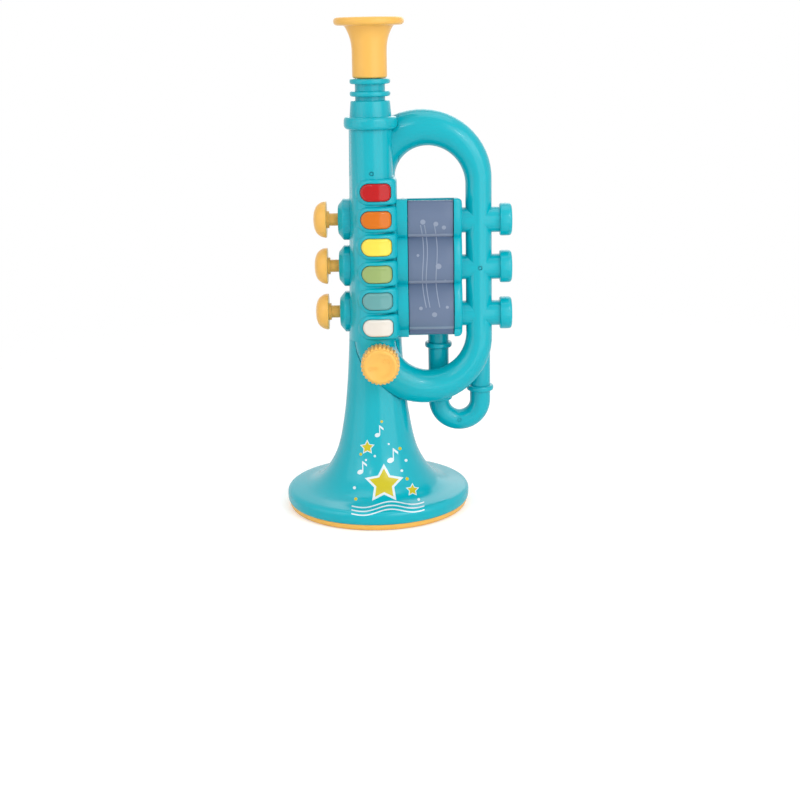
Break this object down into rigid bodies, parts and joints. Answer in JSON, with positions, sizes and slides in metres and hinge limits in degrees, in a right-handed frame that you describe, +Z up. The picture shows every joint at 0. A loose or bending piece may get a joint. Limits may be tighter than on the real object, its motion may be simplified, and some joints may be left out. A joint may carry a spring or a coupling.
{
  "type": "toy trumpet",
  "caption": "electronic toy trumpet with tone keys, side pistons, a lamp window, a volume knob and a flared bell that it stands on",
  "frame": {"origin": "middle of the footprint of the bounding box, on the surface that the bell's base stands on", "axes": "+Z up from the bell to the mouthpiece, -Y towards the keys and the knob, +X towards the right-hand pipe"},
  "size_m": [0.1546, 0.1254, 0.33],
  "materials": {
    "turquoise_plastic": "glossy moulded ABS",
    "cream_plastic": "glossy moulded ABS",
    "smoke_lens": "clear smoky moulded lens",
    "red_plastic": "glossy moulded key",
    "orange_plastic": "glossy moulded key",
    "yellow_plastic": "glossy moulded key",
    "green_plastic": "glossy moulded key",
    "teal_plastic": "glossy moulded key",
    "white_plastic": "glossy moulded key",
    "dark_part": "black housing",
    "steel": "zinc-plated",
    "board": "solder-masked board",
    "silicone": "pale silicone",
    "cell_cover": "plain cell sleeve"
  },
  "bodies": {
    "root": {"mouthpiece": "cream_plastic", "receiver": "turquoise_plastic", "front_shell": "turquoise_plastic", "back_shell": "turquoise_plastic", "bell": "turquoise_plastic", "speaker_grille": "cream_plastic", "lamp_lens": "smoke_lens", "tuning_slide": "turquoise_plastic", "potentiometer": "dark_part", "speaker": "dark_part", "key_board": "board", "key_pad": "silicone", "piston_board": "board", "light_board": "board", "valve_nut_1": "turquoise_plastic", "valve_nut_2": "turquoise_plastic", "valve_nut_3": "turquoise_plastic", "battery_1": "cell_cover", "battery_2": "cell_cover", "battery_3": "cell_cover", "contact_lower": "steel", "contact_upper": "steel", "battery_door": "turquoise_plastic", "shell_screw_1": "steel", "shell_screw_2": "steel", "shell_screw_3": "steel", "shell_screw_4": "steel", "shell_screw_5": "steel"},
    "piston_1": {"piston_1": "cream_plastic"},
    "piston_2": {"piston_2": "cream_plastic"},
    "piston_3": {"piston_3": "cream_plastic"},
    "key_red": {"key_red": "red_plastic"},
    "key_orange": {"key_orange": "orange_plastic"},
    "key_yellow": {"key_yellow": "yellow_plastic"},
    "key_green": {"key_green": "green_plastic"},
    "key_teal": {"key_teal": "teal_plastic"},
    "key_white": {"key_white": "white_plastic"},
    "volume_knob": {"volume_knob": "cream_plastic", "knob_shaft": "steel"}
  },
  "joints": [
    {"name": "piston_1_push", "type": "slide", "parent": "root", "child": "piston_1", "axis": [1, 0, 0], "range_m": [0, 0.005], "stiffness_N_per_m": 400, "springref_m": -0.001},
    {"name": "piston_2_push", "type": "slide", "parent": "root", "child": "piston_2", "axis": [1, 0, 0], "range_m": [0, 0.005], "stiffness_N_per_m": 400, "springref_m": -0.001},
    {"name": "piston_3_push", "type": "slide", "parent": "root", "child": "piston_3", "axis": [1, 0, 0], "range_m": [0, 0.005], "stiffness_N_per_m": 400, "springref_m": -0.001},
    {"name": "key_red_press", "type": "slide", "parent": "root", "child": "key_red", "axis": [0, 1, 0], "range_m": [0, 0.0015], "stiffness_N_per_m": 700, "springref_m": -0.0005},
    {"name": "key_orange_press", "type": "slide", "parent": "root", "child": "key_orange", "axis": [0, 1, 0], "range_m": [0, 0.0015], "stiffness_N_per_m": 700, "springref_m": -0.0005},
    {"name": "key_yellow_press", "type": "slide", "parent": "root", "child": "key_yellow", "axis": [0, 1, 0], "range_m": [0, 0.0015], "stiffness_N_per_m": 700, "springref_m": -0.0005},
    {"name": "key_green_press", "type": "slide", "parent": "root", "child": "key_green", "axis": [0, 1, 0], "range_m": [0, 0.0015], "stiffness_N_per_m": 700, "springref_m": -0.0005},
    {"name": "key_teal_press", "type": "slide", "parent": "root", "child": "key_teal", "axis": [0, 1, 0], "range_m": [0, 0.0015], "stiffness_N_per_m": 700, "springref_m": -0.0005},
    {"name": "key_white_press", "type": "slide", "parent": "root", "child": "key_white", "axis": [0, 1, 0], "range_m": [0, 0.0015], "stiffness_N_per_m": 700, "springref_m": -0.0005},
    {"name": "volume_turn", "type": "hinge", "parent": "root", "child": "volume_knob", "pos_m": [-0.01105, -0.0344, 0.106], "axis": [0, 1, 0], "range_deg": [0, 270]}
  ]
}
